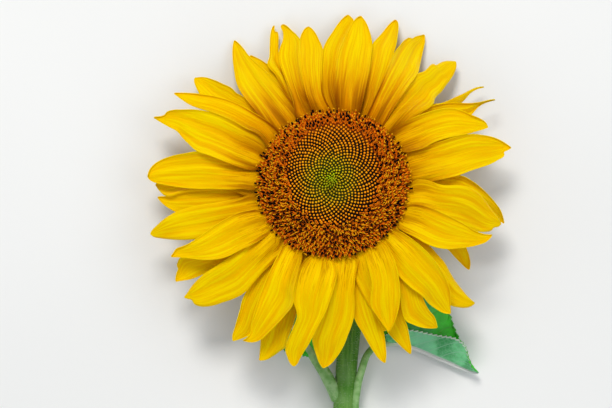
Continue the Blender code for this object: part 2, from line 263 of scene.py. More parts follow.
def pick(*pieces):
    bpy.ops.object.select_all(action="DESELECT")
    for piece in pieces:
        piece.select_set(True)
    bpy.context.view_layer.objects.active = pieces[0]


def joined(name, pieces):
    pick(*pieces)
    bpy.ops.object.join()
    whole = bpy.context.object
    whole.name = whole.data.name = name
    return whole


def sheet(name, stations, columns, place):
    """A flat grid whose points are moved to place(along, across), both arrays from 0 to 1."""
    grid = {"x_subdivisions": stations, "y_subdivisions": columns, "size": 1}
    piece = fresh(bpy.ops.mesh.primitive_grid_add, **grid)
    piece.name = piece.data.name = name
    flat = np.empty(len(piece.data.vertices) * 3)
    piece.data.vertices.foreach_get("co", flat)
    flat = flat.reshape(-1, 3)
    points = place(flat[:, 0] + 0.5, flat[:, 1] + 0.5)
    points[:, 2] = np.maximum(points[:, 2], LEAST_HEIGHT)
    piece.data.vertices.foreach_set("co", points.ravel())
    piece.data.update()
    bpy.ops.object.shade_smooth()
    return piece


def rolled(name, stations, sides, place):
    """A sheet whose seam and poles are closed, with its faces pointing outwards."""
    piece = sheet(name, stations, sides, lambda along, around: place(along, around * math.tau))
    pick(piece)
    bpy.ops.object.mode_set(mode="EDIT")
    bpy.ops.mesh.select_all(action="SELECT")
    bpy.ops.mesh.remove_doubles(threshold=0.000002)
    bpy.ops.mesh.dissolve_degenerate(threshold=0.000001)
    bpy.ops.mesh.normals_make_consistent(inside=False)
    bpy.ops.object.mode_set(mode="OBJECT")
    return piece


def rod(name, stations, sides, knots, steps, relief):
    """A rod through knots, each a place and a radius. relief(along, turn) is a share of it."""
    line = line_through([place for place, _ in knots], steps)
    length = np.linspace(0, 1, len(line))
    between = np.linspace(0, len(knots) - 1, len(line))
    radii = np.interp(between, range(len(knots)), [radius for _, radius in knots])

    def place(along, turn):
        ahead = on_line(np.minimum(along + 0.01, 1), length, line)
        behind = on_line(np.maximum(along - 0.01, 0), length, line)
        tangent = unit(ahead - behind)
        side = unit(np.cross([0, 0, 1], tangent))
        up = np.cross(tangent, side)
        radius = np.interp(along, length, radii) * relief(along, turn)
        out = side * np.cos(turn)[:, None] + up * np.sin(turn)[:, None]
        return on_line(along, length, line) + out * radius[:, None]

    return rolled(name, stations, sides, place)


def cone(sides, bottom, top, depth, middle, fill="TRIFAN"):
    """A cone or tube along the height, given its radii, its length and the height of its middle."""
    piece = fresh(
        bpy.ops.mesh.primitive_cone_add,
        vertices=sides,
        radius1=bottom,
        radius2=top,
        depth=depth,
        location=(0, 0, middle),
        end_fill_type=fill,
    )
    bpy.ops.object.transform_apply(location=True, rotation=False, scale=False)
    return piece


def thickened(piece, thickness, material_offset=0):
    skin = piece.modifiers.new("thickness", "SOLIDIFY")
    skin.thickness = thickness
    skin.offset = 0
    skin.material_offset = material_offset
    bpy.ops.object.modifier_apply(modifier="thickness")


def set_values(mesh, name, values):
    """A value for each point of a mesh, under a name that its finish reads."""
    mesh.attributes.new(name, "FLOAT", "POINT").data.foreach_set("value", values)


def frame_at(place, direction, width, length, spin):
    """A matrix that stands a model of unit size on a place, along a direction."""
    turn = Vector(direction).to_track_quat("Z", "Y").to_matrix().to_4x4()
    size = Matrix.Diagonal((width, width, length, 1))
    return Matrix.Translation(place) @ turn @ Matrix.Rotation(spin, 4, "Z") @ size


def planted(name, model, frames, shades):
    """Copies of a small model at every frame, as one piece. shades holds each copy's values."""
    count = len(model.data.vertices)
    local = np.empty(count * 3)
    model.data.vertices.foreach_get("co", local)
    frames = np.array(frames)
    points = np.einsum("kij,vj->kvi", frames[:, :3, :3], local.reshape(-1, 3))
    points += frames[:, None, :3, 3]
    points[..., 2] = np.maximum(points[..., 2], HAIR_LEAST_HEIGHT)
    faces = [tuple(face.vertices) for face in model.data.polygons]
    finishes = [face.material_index for face in model.data.polygons]
    starts = range(0, count * len(frames), count)
    corners = [[corner + start for corner in face] for start in starts for face in faces]
    mesh = bpy.data.meshes.new(name)
    mesh.from_pydata(points.reshape(-1, 3), [], corners)
    mesh.polygons.foreach_set("material_index", finishes * len(frames))
    mesh.polygons.foreach_set("use_smooth", [True] * len(mesh.polygons))
    for own in model.data.attributes:
        if own.data_type == "FLOAT" and own.domain == "POINT" and not own.is_internal:
            values = np.empty(count)
            own.data.foreach_get("value", values)
            set_values(mesh, own.name, np.tile(values, len(frames)))
    for shade, values in shades.items():
        set_values(mesh, shade, np.repeat(values, count))
    for material in model.data.materials:
        mesh.materials.append(material)
    piece = bpy.data.objects.new(name, mesh)
    bpy.context.scene.collection.objects.link(piece)
    bpy.data.objects.remove(model)
    return piece


def hairs_on(name, piece, count, length, seed, sweep=(0, 0, 0), width=HAIR_WIDTH, keep=None):
    """Hairs over the faces of a piece that keep picks, at seeded places, leaning by sweep."""
    chance = random.Random(seed)
    mesh = piece.data
    faces = [face for face in mesh.polygons if keep is None or keep(face)]
    frames = []
    for face in chance.choices(faces, weights=[face.area for face in faces], k=count):
        corners = [mesh.vertices[i].co for i in face.vertices]
        weights = [chance.random() for _ in corners]
        place = sum((c * w for c, w in zip(corners, weights)), Vector()) / sum(weights)
        lean = Vector((chance.gauss(0, 0.3), chance.gauss(0, 0.3), chance.gauss(0, 0.3)))
        direction = face.normal + Vector(sweep) + lean
        reach = length * chance.uniform(0.5, 1.2)
        frames.append(frame_at(place, direction, width, reach, chance.uniform(0, 6.28)))
    return planted(name, cone(3, 1, 0, 1, 0.5, fill="NGON"), frames, {})


def stem_relief(along, turn):
    """The rind's ridges, the cut at the lower end and the closed upper end."""
    ridges = 0.018 * np.cos(6 * turn + 1.5 * np.sin(along * 5.0))
    ridges = ridges + 0.010 * np.cos(13 * turn + 2.0 * np.sin(along * 9.0 + 1.0))
    swell = 0.012 * np.sin(along * 31 + 2 * np.cos(turn)) + 0.008 * np.sin(along * 67 + 3 * turn)
    ends = clamp(along / 0.014) ** 0.5
    ends = np.where(along < 0.004, along / 0.004 * 0.93, np.maximum(ends, 0.93))
    ends = np.where(along > 0.996, (1 - along) / 0.004 * 0.9, ends)
    return ends * (1 + ridges + swell)


stem_knots = [(on_flower(point[:3]), STEM_RADIUS * point[3]) for point in STEM_POINTS]
for drop, share in NECK_POINTS:
    stem_knots.append((HEAD @ Vector((0, 0, -(RECEPTACLE_DEPTH + drop))), NECK_RADIUS * share))
stem = rod("stem_rind", 250, 48, stem_knots, 24, stem_relief)

rind, wire = new_finish("hairy green rind", 0.55, Specular_IOR_Level=0.25)
along, _ = wire.laid()
spot = wire.spot()
grain = {"Vector": spot, "Scale": Vector((900.0, 60.0, 900.0))}
streak = wire.noise(wire.node("Mapping", {"vector_type": "POINT"}, grain), 1.0, 4.0)
patch = wire.noise(spot, 70.0, 3.0)
speck = wire.noise(spot, 1400.0, 2.0)
green = streak.between(0.35, 0.68).blend((0.045, 0.195, 0.006), (0.125, 0.310, 0.034))
green = (patch.between(0.45, 0.75) * 0.6).blend(green, (0.20, 0.36, 0.12))
cut = 1 - along.between(0.0030, 0.0042)
pith = 1 - along.between(0.0022, 0.0030)
end = pith.blend((0.34, 0.46, 0.16), (0.72, 0.74, 0.52))
wire.show(Base_Color=cut.blend(green, end))
wire.show(Roughness=0.45 + patch * 0.25)
wire.relief(streak * 0.7 + speck * 0.3, 0.6, 0.0004)
stem.data.materials.append(rind)
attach(stem, "root")
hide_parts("stem")

down, _ = new_finish("pale plant hair", 0.4, Subsurface_Weight=0.3, Base_Color=(0.72, 0.80, 0.58))
stem_hairs = hairs_on(
    "stem_hairs", stem, 4200, 0.0015, 11, (0, -0.25, 0), keep=lambda face: face.center.z > 0.0015
)
stem_hairs.data.materials.append(down)
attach(stem_hairs, "root")
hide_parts("stem")

# Receptacle and bracts
# The back of the head is a shallow green cup full of pith. Pointed green bracts, hairy along
# their edges, grow round its rim in rows and lie close under the ray florets.
RECEPTACLE_PROFILE = (
    (0, -0.0083),
    (0.0400, -0.0082),
    (0.0424, -0.0086),
    (0.0421, -0.0105),
    (0.0385, -0.0145),
    (0.0310, -0.0180),
    (0.0205, -0.0205),
    (0.0130, -0.0220),
    (0.0092, -0.0240),
    (0, -0.0240),
)
# count, length, breadth, first bearing, height
BRACT_ROWS = ((13, 0.031, 0.0115, 0.0, -0.0118), (13, 0.034, 0.0125, 13.8, -0.0152))
BRACT_ROOT_RADIUS = 0.0335
BRACT_DROP = 0.0065
BRACT_CUP = 0.0014
BRACT_THICKNESS = 0.0006
BRACT_EDGE_FACE = 3.2e-7


def head_points(points):
    """Places given square to the head, moved to where the head is."""
    return points @ np.array(HEAD.to_3x3()).T + np.array(HEAD.translation)


def round_points(radius, turn, height):
    """Places round the head's axis, given square to the head."""
    return head_points(np.stack([radius * np.cos(turn), radius * np.sin(turn), height], -1))


def cup_place(along, turn):
    profile = np.array(RECEPTACLE_PROFILE)
    radius, height = on_line(along, length_shares(profile), profile).T
    under = clamp((along - 0.5) * 6) * clamp((1 - along) * 8)
    radius = radius * (1 + 0.012 * under * np.cos(13 * turn + 0.6))
    return round_points(radius, turn, height - 0.0004 * under * np.cos(26 * turn))


def bract_place(bearing, length, breadth, height, twist, wave):
    turn = math.radians(bearing)
    outward = np.array((math.cos(turn), math.sin(turn), 0))
    side = np.array((-math.sin(turn), math.cos(turn), 0))

    def place(along, across):
        across = across * 2 - 1
        half = np.maximum(breadth / 2 * (1 - along) ** 0.9 * (1 + 1.2 * along), 0.0003)
        level = height - 0.0010 - BRACT_DROP * along**2
        level = level + BRACT_CUP * (1 - along) * across**2
        level = level + 0.0005 * np.exp(-((across / 0.16) ** 2)) * (1 - along)
        level = level + wave * np.sin(along * 7 + across) * across * along
        reach = BRACT_ROOT_RADIUS + length * along
        sway = twist * along**2 * length
        points = outward * reach[:, None] + side * (across * half + sway)[:, None]
        points[:, 2] += level
        return head_points(points)

    return place


cup = rolled("receptacle_cup", 60, 104, cup_place)
leafy, wire = new_finish("bract green", 0.6)
spot = wire.spot()
patch = wire.noise(spot, 120.0, 4.0)
fleck = wire.noise(spot, 900.0, 3.0)
green = patch.between(0.35, 0.70).blend((0.050, 0.190, 0.018), (0.120, 0.300, 0.050))
green = fleck.between(0.50, 0.80).blend(green, (0.24, 0.42, 0.13))
wire.show(Base_Color=green)
wire.relief(patch * 0.4 + fleck * 0.6, 0.5, 0.0004)
cup.data.materials.append(leafy)
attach(cup, "root")
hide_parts("receptacle")

chance = random.Random(5)
bracts = []
for count, length, breadth, first, height in BRACT_ROWS:
    for number in range(count):
        place = bract_place(
            first + 360 * number / count + chance.gauss(0, 1.5),
            length * chance.uniform(0.90, 1.04),
            breadth * chance.uniform(0.92, 1.06),
            height,
            chance.gauss(0, 0.08),
            chance.uniform(0.0002, 0.0006),
        )
        bracts.append(sheet(f"bract_{len(bracts)}", 22, 10, place))
bracts = joined("bracts", bracts)
thickened(bracts, BRACT_THICKNESS)

bract_green, wire = new_finish("bract green with veins", 0.55)
along, across = wire.laid()
across = abs(across * 2 - 1)
patch = wire.noise(wire.spot(), 160.0, 4.0)
green = patch.between(0.35, 0.70).blend((0.045, 0.180, 0.016), (0.110, 0.290, 0.045))
green = (1 - across.between(0.04, 0.16)).blend(green, (0.22, 0.40, 0.12))
green = (across.between(0.82, 1.0) * 0.7).blend(green, (0.30, 0.46, 0.18))
wire.show(Base_Color=green)
wire.relief((across * 26.0 + along * 4.0).sine() * 0.3 + patch, 0.5, 0.0003)
bracts.data.materials.append(bract_green)
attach(bracts, "root")
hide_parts("receptacle")



def looks_down(face):
    return face.normal.z < 0


def on_edge(face):
    return face.area < BRACT_EDGE_FACE


cup_hairs = hairs_on("cup_hairs", cup, 1200, 0.0011, 21, width=0.00006, keep=looks_down)
bract_hairs = hairs_on("bract_hairs", bracts, 3600, 0.0010, 22, (0, 0, -0.1), keep=on_edge)
head_hairs = joined("receptacle_hairs", [cup_hairs, bract_hairs])
head_hairs.data.materials.append(down)
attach(head_hairs, "root")
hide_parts("receptacle")

# Ray florets
# Thin yellow blades, satin and pleated along their length, that grow from the rim of the head
# in three crowded rows. Each droops over those behind it, and ends in a point, lobes or a curl.
ROOT_RADIUS = 0.0397
ROOT_HEIGHTS = (-0.0054, -0.0046, -0.0038)
CLAW_HALF = 0.0042
ROOT_SPREAD = (0.0042, 0.0038, 0.0012)
TIP_HALF = 0.00025
LIFT_SHARE = 0.42
TIP_SHARE = 0.25
TIP_UPTURN = 0.12
RISES = tuple(math.radians(angle) for angle in (3, 15, 27))
RAY_STATIONS = 66
RAY_COLUMNS = 26
RAY_THICKNESS = 0.00035
RAY_CLEARANCE = 0.0007
RAY_PIECES = ("ray_florets_back", "ray_florets_middle", "ray_florets_front")
# row, root bearing, tip height in mm, twist in degrees, then the tip and the anticlockwise
# and the clockwise margin out to it, as x and y from the head's centre as seen from above,
# in tenths of a millimetre
RAY_FLORETS = (
    (1, 87, 4, 0, (82, 930), (-58, 484, -64, 601, -61, 683, -55, 739, -35, 786, -6, 830, 30, 883,
     62, 918), (12, 543, 30, 660, 59, 777, 100, 865, 113, 898, 99, 918)),
    (2, 78, 7.5, 10, (153, 924), (12, 513, 15, 613, 30, 719, 71, 818, 115, 897, 132, 915), (147,
     431, 176, 525, 197, 613, 209, 695, 215, 771, 200, 842, 179, 892)),
    (1, 66, 3, -25, (344, 903), (166, 455, 184, 572, 201, 683, 218, 770, 237, 795, 263, 821, 292,
     857, 316, 885), (225, 425, 266, 531, 307, 637, 335, 725, 348, 771, 355, 818, 359, 859, 355,
     892)),
    (2, 57, 0.5, 8, (502, 820), (210, 402, 237, 484, 269, 566, 301, 642, 335, 716, 351, 741, 369,
     763, 386, 784, 404, 798, 421, 804, 436, 800, 454, 810, 477, 816), (286, 355, 330, 419, 377,
     484, 418, 543, 465, 607, 477, 651, 487, 695, 496, 739, 504, 777, 505, 804)),
    (1, 48, 8, -12, (675, 672), (295, 390, 354, 484, 412, 560, 468, 608, 501, 620, 519, 635, 537,
     654, 553, 660, 566, 653, 586, 664, 618, 675, 647, 676), (412, 343, 483, 390, 550, 440, 556,
     461, 568, 481, 594, 506, 624, 546, 650, 581, 669, 616, 678, 648)),
    (0, 42, 10, 40, (829, 534), (354, 349, 442, 402, 550, 439, 594, 444, 635, 459, 677, 479, 718,
     497, 759, 518, 791, 531), (412, 308, 530, 373, 635, 419, 703, 446, 723, 463, 738, 481, 756,
     500, 788, 520)),
    (0, 34, 14, 40, (891, 464), (383, 349, 501, 414, 606, 443, 706, 445, 753, 444, 794, 448, 829,
     455, 858, 462), (442, 285, 559, 331, 677, 361, 759, 381, 782, 405, 803, 427, 829, 443, 858,
     453)),
    (2, 35, 30, -8, (852, 314), (342, 296, 401, 340, 477, 378, 559, 405, 641, 417, 706, 405, 759,
     381, 806, 361, 838, 340), (448, 191, 495, 201, 547, 226, 612, 249, 677, 264, 735, 275, 788,
     290, 826, 301)),
    (0, 23, 14, 0, (830, 223), (453, 219, 587, 269, 729, 269), (467, 120, 611, 111, 747, 151)),
    (1, 12, 26, 8, (979, 200), (438, 153, 514, 197, 602, 235, 690, 262, 761, 275, 825, 269, 884,
     256, 931, 235), (485, 29, 579, 30, 661, 40, 708, 54, 761, 75, 808, 90, 861, 108, 908, 133, 942,
     159, 938, 173, 960, 186)),
    (0, -2, 23, 30, (941, -215), (497, 39, 614, 48, 708, 45, 767, 15, 820, -26, 861, -67, 896, -108,
     922, -146, 933, -175), (556, -84, 732, -125, 849, -166, 908, -202, 928, -210)),
    (1, -12, 30, 0, (924, -219), (497, 1, 602, -9, 708, -8, 767, -26, 814, -61, 849, -108, 878,
     -149, 905, -184), (485, -166, 585, -202, 673, -225, 732, -243, 790, -260, 837, -263, 872, -254,
     884, -240, 910, -234)),
    (2, -26, 40, -8, (875, -281), (456, -122, 532, -131, 608, -161, 679, -196, 732, -225, 781, -257,
     817, -272, 849, -278), (397, -254, 456, -290, 509, -325, 567, -348, 626, -357, 690, -353, 749,
     -346, 796, -335, 837, -320, 864, -298)),
    (0, -25, 28, 15, (750, -470), (497, -172, 614, -231, 696, -290, 734, -354, 748, -395, 755,
     -436), (456, -266, 556, -319, 632, -360, 673, -404, 702, -433, 729, -459)),
    (0, -41, 34, 0, (779, -657), (446, -288, 539, -350, 580, -394, 613, -432, 642, -485, 671, -532,
     707, -579, 742, -620), (375, -400, 469, -511, 551, -587, 610, -640, 648, -667, 686, -677, 727,
     -680, 759, -672)),
    (2, -45, 42, -6, (646, -712), (399, -288, 481, -341, 551, -411, 604, -488, 636, -558, 648, -617,
     646, -670), (305, -406, 358, -499, 422, -564, 492, -617, 528, -658, 563, -684, 598, -704, 624,
     -712)),
    (1, -53, 40, 6, (572, -790), (346, -382, 422, -470, 469, -546, 490, -614, 507, -658, 531, -699,
     557, -731, 568, -760), (287, -447, 352, -546, 369, -617, 381, -699, 399, -749, 440, -772, 487,
     -788, 531, -793)),
    (0, -61, 37, 0, (426, -934), (328, -458, 375, -582, 387, -664, 392, -740, 404, -769, 415, -816,
     423, -863, 430, -904), (234, -488, 270, -664, 293, -799, 328, -846, 360, -878, 393, -910)),
    (2, -57, 50, 10, (308, -810), (305, -370, 343, -441, 360, -511, 368, -582, 366, -652, 352, -716,
     331, -775), (193, -417, 205, -488, 215, -558, 208, -628, 211, -675, 240, -722, 275, -769)),
    (1, -73, 45, 0, (280, -809), (199, -476, 246, -582, 287, -687, 305, -758, 299, -799), (110,
     -441, 120, -499, 140, -564, 173, -628, 211, -693, 246, -752, 270, -793)),
    (0, -74, 38, -10, (286, -983), (170, -447, 211, -535, 246, -634, 270, -722, 275, -799, 282,
     -834, 289, -887, 292, -945), (111, -488, 94, -605, 105, -699, 129, -763, 158, -810, 190, -866,
     226, -925, 255, -963)),
    (1, -82, 40, 6, (-55, -1011), (99, -484, 110, -594, 118, -671, 114, -732, 100, -784, 82, -831,
     63, -880, 41, -921, 11, -963, -22, -997), (-6, -490, -39, -605, -72, -721, -99, -803, -113,
     -852, -105, -897, -91, -941, -74, -985)),
    (2, -100, 47, 0, (-217, -1002), (12, -473, 6, -550, -17, -638, -44, -710, -77, -770, -116, -847,
     -138, -888, -160, -921, -182, -960, -201, -993), (-182, -473, -212, -561, -220, -638, -201,
     -693, -198, -732, -217, -787, -239, -836, -254, -880, -261, -913, -250, -952, -234, -987)),
    (0, -113, 38, 10, (-404, -970), (-143, -501, -165, -594, -192, -682, -220, -776, -248, -847,
     -264, -899, -292, -919, -325, -943, -369, -967), (-237, -446, -292, -528, -347, -638, -380,
     -737, -395, -831, -399, -886, -403, -935)),
    (2, -122, 45, -6, (-494, -861), (-187, -435, -206, -517, -220, -594, -221, -660, -264, -721,
     -308, -770, -352, -814, -393, -852, -429, -868, -462, -869), (-292, -391, -347, -484, -391,
     -583, -424, -682, -446, -759, -457, -825, -476, -847)),
    (0, -130, 37, 0, (-550, -862), (-281, -435, -325, -539, -374, -638, -412, -726, -457, -828,
     -484, -842, -517, -854), (-336, -352, -391, -418, -440, -501, -473, -583, -498, -638, -512,
     -693, -528, -748, -542, -798, -553, -836)),
    (1, -138, 35, 0, (-817, -624), (-319, -385, -385, -473, -440, -545, -490, -600, -545, -630,
     -600, -649, -655, -667, -704, -674, -742, -670, -765, -657, -776, -638, -798, -631), (-402,
     -286, -490, -347, -567, -402, -633, -446, -710, -496, -748, -531, -781, -569, -803, -602)),
    (0, -148, 29, 12, (-865, -534), (-429, -363, -539, -435, -633, -473, -704, -492, -742, -509,
     -787, -524, -831, -531), (-457, -242, -594, -308, -704, -363, -787, -391, -842, -407, -854,
     -432, -858, -451, -851, -465, -859, -487, -865, -514)),
    (2, -152, 38, 0, (-890, -399), (-380, -281, -440, -325, -512, -363, -583, -399, -655, -415,
     -732, -415, -798, -407, -847, -403), (-446, -154, -523, -165, -594, -195, -655, -231, -710,
     -272, -759, -307, -792, -327, -831, -344, -861, -356, -877, -377)),
    (1, -162, 30, -10, (-1004, -275), (-484, -231, -594, -270, -688, -297, -759, -304, -842, -307,
     -902, -303, -952, -297, -987, -289), (-512, -98, -622, -102, -721, -114, -814, -136, -864,
     -154, -897, -172, -935, -198, -971, -231, -996, -256)),
    (0, -172, 22, 0, (-964, -73), (-539, -149, -677, -168, -787, -165, -864, -153, -897, -136, -930,
     -113, -952, -91), (-539, -28, -677, -22, -776, -33, -842, -48, -902, -67, -935, -68)),
    (0, 178, 21.5, 14, (-976, -4), (-567, -28, -677, -36, -776, -41, -842, -52, -910, -67, -952,
     -39), (-567, 44, -732, 55, -869, 44, -952, 17)),
    (1, 171, 27, 0, (-1020, 45), (-475, 4, -563, -19, -680, -26, -780, -24, -868, -14, -944, 0,
     -991, 13, -1015, 31), (-475, 113, -592, 154, -698, 176, -751, 179, -809, 170, -886, 154, -944,
     133, -985, 107, -1009, 78)),
    (2, 157, 23, -6, (-985, 366), (-446, 89, -534, 104, -616, 133, -686, 160, -751, 183, -798, 224,
     -827, 254, -856, 289, -903, 315, -950, 342), (-404, 260, -487, 307, -580, 359, -663, 393, -710,
     402, -756, 409, -827, 409, -886, 406, -915, 395, -927, 380)),
    (2, 142, 24, 10, (-873, 499), (-404, 277, -475, 307, -563, 353, -657, 392, -733, 415, -786, 436,
     -827, 462), (-363, 336, -451, 400, -545, 450, -639, 480, -733, 495, -809, 501)),
    (0, 138, 11, 0, (-761, 582), (-475, 330, -592, 400, -698, 436, -733, 495, -751, 529, -763, 565),
     (-358, 330, -416, 400, -498, 483, -531, 500, -557, 527, -598, 547, -657, 573, -710, 587)),
    (1, 126, 0.5, 0, (-542, 789), (-358, 343, -428, 408, -495, 488, -528, 549, -545, 637, -552, 707,
     -550, 760), (-217, 396, -264, 490, -328, 578, -399, 648, -464, 707, -495, 748, -525, 779)),
    (0, 118, 5.5, 0, (-454, 707), (-340, 449, -410, 554, -451, 637, -468, 695), (-228, 470, -275,
     570, -325, 642, -366, 662, -393, 680, -428, 698)),
    (0, 111, 3, 12, (-325, 871), (-217, 431, -270, 519, -316, 601, -360, 660, -350, 695, -347, 760,
     -343, 824, -333, 862), (-187, 449, -234, 543, -270, 631, -299, 719, -301, 777, -302, 824, -308,
     837, -316, 836)),
    (1, 106, 4, 0, (-275, 878), (-193, 437, -240, 525, -275, 613, -298, 695, -293, 742, -275, 795,
     -275, 836, -286, 871), (-135, 455, -158, 543, -170, 631, -176, 719, -179, 789, -199, 818, -228,
     845, -258, 872)),
    (2, 98, 8, 0, (-136, 865), (-123, 437, -152, 502, -173, 590, -187, 683, -184, 760, -179, 807,
     -167, 836, -152, 857), (-55, 484, -61, 572, -61, 660, -58, 745, -76, 789, -99, 833, -120,
     857)),
)

# what the next ray floret lies on, as heights over the table on a fine square net
NET_STEP = 0.0005
NET_REACH = 0.125
NET_CELLS = int(2 * NET_REACH / NET_STEP)
heap = np.zeros((NET_CELLS, NET_CELLS))


def net_cells(points):
    places = points[..., :2] - np.array(HEAD_CENTRE.xy) + NET_REACH
    cells = np.clip((places / NET_STEP).astype(int), 0, NET_CELLS - 1)
    return cells[..., 0], cells[..., 1]


def neighbours(values, axis):
    """The values one step before and one step after, along an axis of a grid."""
    last = values.shape[axis] - 1
    steps = np.arange(last + 1)
    return (values.take(np.clip(steps + way, 0, last), axis) for way in (-1, 1))


def eased(lift):
    """A lift widened, then smoothed, so that a blade bends gently over what it lies on."""
    for axis, reach in ((1, 5), (0, 3)):
        for _ in range(reach):
            before, after = neighbours(lift, axis)
            lift = np.maximum(lift, np.maximum(before, after))
    for axis, rounds in ((1, 14), (0, 6)):
        for _ in range(rounds):
            before, after = neighbours(lift, axis)
            lift = (before + 2 * lift + after) / 4
    return lift


def finer(points, times):
    """A grid of points with more points set evenly between them."""
    for axis in (0, 1):
        count = points.shape[axis]
        places = np.linspace(0, count - 1, (count - 1) * times + 1)
        low = np.minimum(places.astype(int), count - 2)
        share = (places - low).reshape((-1, 1, 1) if axis == 0 else (1, -1, 1))
        points = points.take(low, axis) * (1 - share) + points.take(low + 1, axis) * share
    return points


def laid_on_heap(points):
    """A ray floret's grid lifted clear of those already laid, which then counts as laid too."""
    lift = np.maximum(heap[net_cells(points)] + RAY_CLEARANCE - points[..., 2], 0)
    lift *= clamp(np.linspace(0, 1, points.shape[1])[None, :] / 0.10)
    points = points.copy()
    points[..., 2] += eased(lift)
    dense = finer(points, 4)
    columns, rows = net_cells(dense)
    np.maximum.at(heap, (columns.ravel(), rows.ravel()), dense[..., 2].ravel())
    return points


def from_view(flat, level):
    """Places as seen from above, each moved in or out to where its height puts it."""
    axis = np.array(VIEW_OFFSET.xy)
    nearness = (VIEW_OFFSET.z + HEAD_CENTRE.z - level) / VIEW_OFFSET.z
    flat = axis + (flat - axis) * nearness[..., None] + np.array(HEAD_CENTRE.xy)
    return np.concatenate([flat, level[..., None]], -1)


def seen_places(seen):
    """Places from a flat row of x and y in tenths of a millimetre."""
    return [Vector((x / 10000, y / 10000, 0)) for x, y in zip(seen[::2], seen[1::2])]


def ray_points(along, across, floret, chance):
    """Where the points of one ray floret go, before it is laid on the others."""
    row, root_bearing, tip_height, twist, tip_at, left_seen, right_seen = floret
    tip_seen = seen_places(tip_at)[0]
    root_turn = math.radians(root_bearing)
    outward = Vector((math.cos(root_turn), math.sin(root_turn), 0))
    sideways = Vector((-outward.y, outward.x, 0))
    root = (ROOT_RADIUS * math.cos(root_turn), ROOT_RADIUS * math.sin(root_turn), ROOT_HEIGHTS[row])
    root = HEAD @ Vector(root)
    root_seen = root - HEAD_CENTRE
    root_seen.z = 0
    forward = (tip_seen - root_seen).normalized()
    aside = Vector((-forward.y, forward.x, 0))
    share = along * (1.35 - 0.35 * along)
    sides = []
    for way, seen in ((1, left_seen), (-1, right_seen)):
        ends = root_seen + sideways * way * CLAW_HALF, tip_seen + aside * way * TIP_HALF
        line = line_through([ends[0], *seen_places(seen), ends[1]], 8)
        sides.append(on_line(share, length_shares(line), line[:, :2]))
    left, right = sides
    flat = right * (1 - across)[..., None] + left * across[..., None]
    breadth = np.linalg.norm(left - right, axis=-1)
    # each blade is broad at its foot, under those that lie on it
    foot = ROOT_SPREAD[row] * np.clip(share / 0.06, 0.35, 1)
    foot = foot * (1 - clamp((share - 0.10) / 0.34)) ** 2
    middle = (left + right) / 2
    flat = middle + (flat - middle) * ((breadth + 2 * foot) / breadth)[..., None]
    breadth = breadth + 2 * foot

    # the middle rises from the root, arches over and comes down to the tip
    tip = on_flower((tip_seen.x, tip_seen.y, tip_height / 1000))
    length = (tip - root).length
    start = HEAD.to_3x3() @ outward * math.cos(RISES[row]) + HEAD_AXIS * math.sin(RISES[row])
    lift = root + start * length * LIFT_SHARE
    fall = (tip - lift).normalized()
    end = tip - (fall + Vector((0, 0, TIP_UPTURN))).normalized() * length * TIP_SHARE
    rest = 1 - share
    level = root.z * rest**3 + lift.z * 3 * rest**2 * share
    level = level + end.z * 3 * rest * share**2 + tip.z * share**3

    across = across * 2 - 1
    lateral = across * breadth / 2
    slope = math.tan(math.radians(twist)) * clamp((along - 0.35) / 0.65) ** 1.3
    slope = slope + math.tan(math.radians(chance.uniform(-10, 10))) * clamp(along / 0.4)
    hollow = chance.uniform(0.10, 0.36) * breadth / 2 * (1 - 0.8 * along)
    rise = across**2 * hollow + lateral * slope
    # pleats run along the blade, deepest in its middle half, and die out at tip and margins
    first, second, third = (chance.uniform(0, math.tau) for _ in range(3))
    spacing = chance.uniform(0.0075, 0.0115)
    window = clamp(along / 0.10) * clamp((1 - along) / 0.22)
    bent = lateral + 0.0006 * np.sin(along * 6 + second)
    pleat = 0.66 * np.cos(math.tau * bent / spacing + first)
    pleat = pleat + 0.22 * np.cos(math.tau * bent / (spacing * 0.44) + second + along * 1.2)
    pleat = pleat + 0.07 * np.cos(math.tau * lateral / (spacing * 0.20) + third)
    depth = chance.uniform(0.00030, 0.00068)
    rise = rise + depth * pleat * window * (1 - 0.5 * across**4)
    # the blade waves a little along its length, and its margins ripple more towards the tip
    ripple = chance.uniform(0.0004, 0.0011)
    beat = chance.uniform(9, 15)
    rise = rise + ripple * np.sin(along * beat + third) * across**3 * along
    rise = rise + ripple * 0.8 * np.sin(along * beat * 0.8 + first) * across**2 * along
    rise = rise + 0.0007 * np.sin(along * beat * 0.9 + second + across) * along * (1 - along) * 2
    rise = rise + 0.0011 * clamp((np.abs(across) - 0.8) / 0.2) ** 2 * chance.choice((-1, 1, 1))
    return from_view(flat, level + rise), pleat * window


def ray_floret(number, floret):
    """One ray floret, laid on the heap. Its attributes are its own tone, its pleats and how much
    painted shade its foot takes.
    """
    chance = random.Random(100 + number)
    grooves = []

    def place(along, across):
        shape = (RAY_COLUMNS + 1, RAY_STATIONS + 1)
        points, pleat = ray_points(along.reshape(shape), across.reshape(shape), floret, chance)
        grooves.append(pleat.ravel())
        return laid_on_heap(points).reshape(-1, 3)

    piece = sheet(f"ray_floret_{number}", RAY_STATIONS, RAY_COLUMNS, place)
    set_values(piece.data, "pleat", grooves[0])
    # those above the disc stand in its shade, painted as a deeper orange at the foot
    painted_foot_shade = 0.5 + 0.5 * math.sin(math.radians(floret[1])) + chance.uniform(-0.12, 0.12)
    for shade, value in (("tone", chance.random()), ("painted_foot_shade", painted_foot_shade)):
        set_values(piece.data, shade, [value] * len(piece.data.vertices))
    return piece


